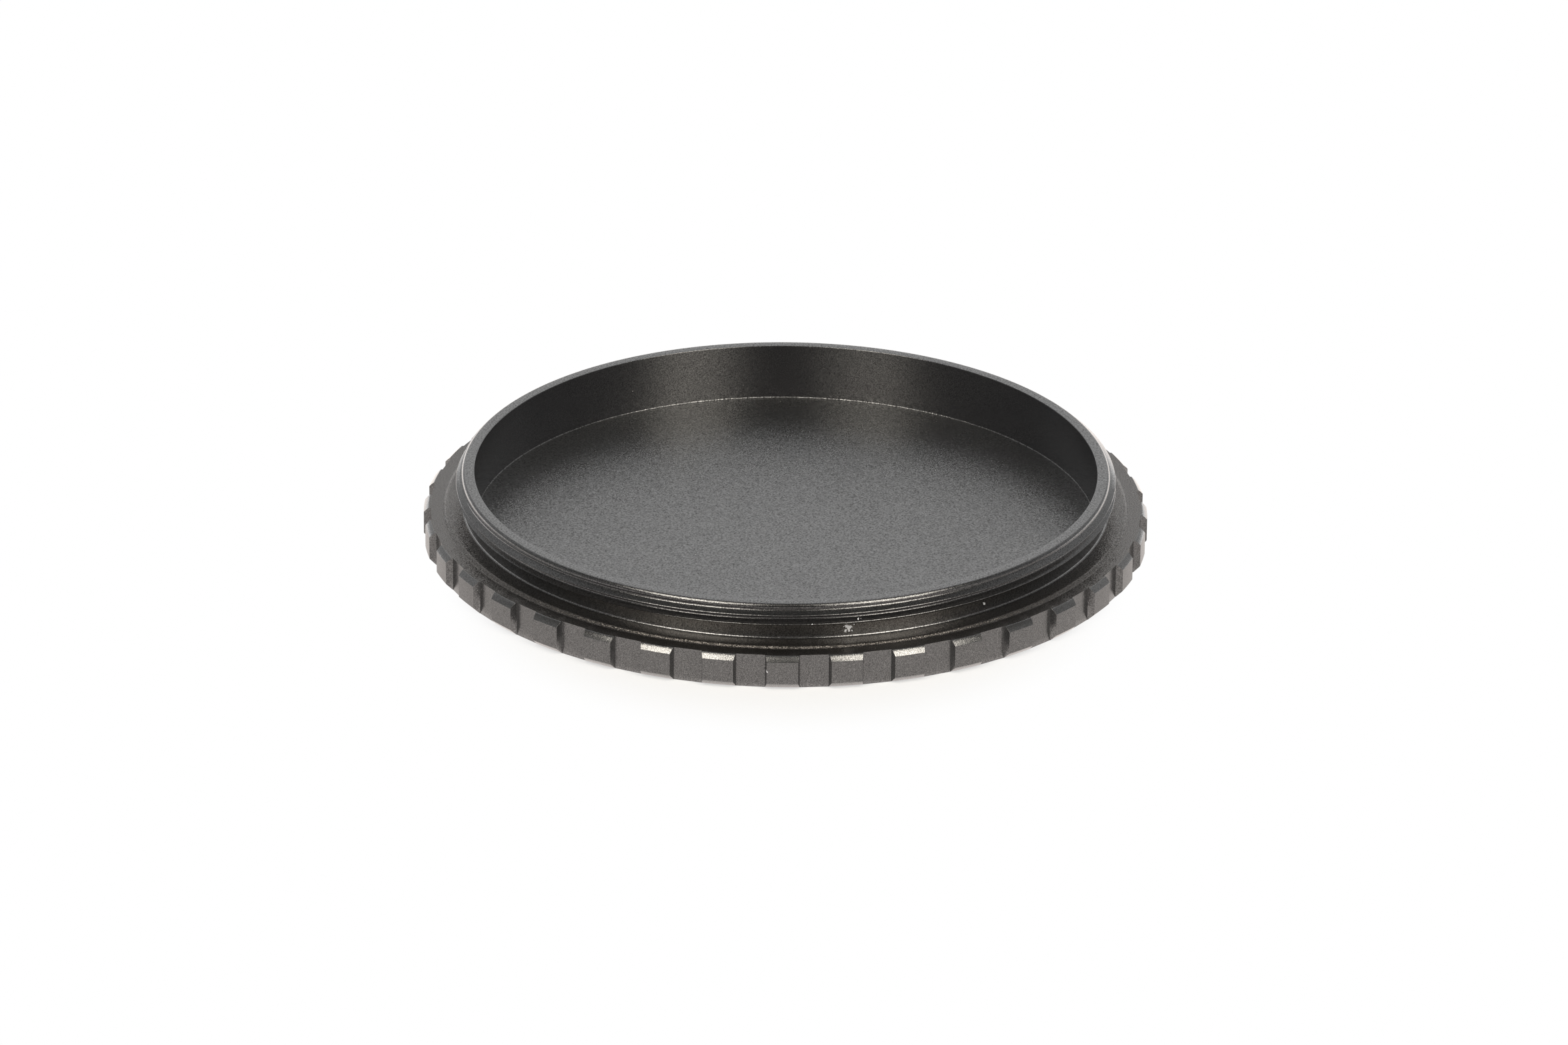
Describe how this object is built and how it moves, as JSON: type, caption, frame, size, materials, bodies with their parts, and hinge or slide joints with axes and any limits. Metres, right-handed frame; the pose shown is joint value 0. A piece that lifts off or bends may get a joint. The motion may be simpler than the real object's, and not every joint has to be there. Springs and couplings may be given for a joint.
{
  "type": "lens dust cap",
  "caption": "Round screw-in dust cap: flat disc with a notched grip rim, a shallow recess and a short collar with a fine male thread.",
  "frame": {"origin": "centre of the closed outer face, which lies on the table", "axes": "+Z along the cap's axis, out of the recess towards the lens; -Y through the middle of one land of the grip"},
  "size_m": [0.057, 0.057, 0.0058],
  "materials": {
    "black_anodised": "bead-blasted, satin black anodised"
  },
  "bodies": {
    "root": {"dust_cap": "black_anodised"}
  },
  "joints": []
}
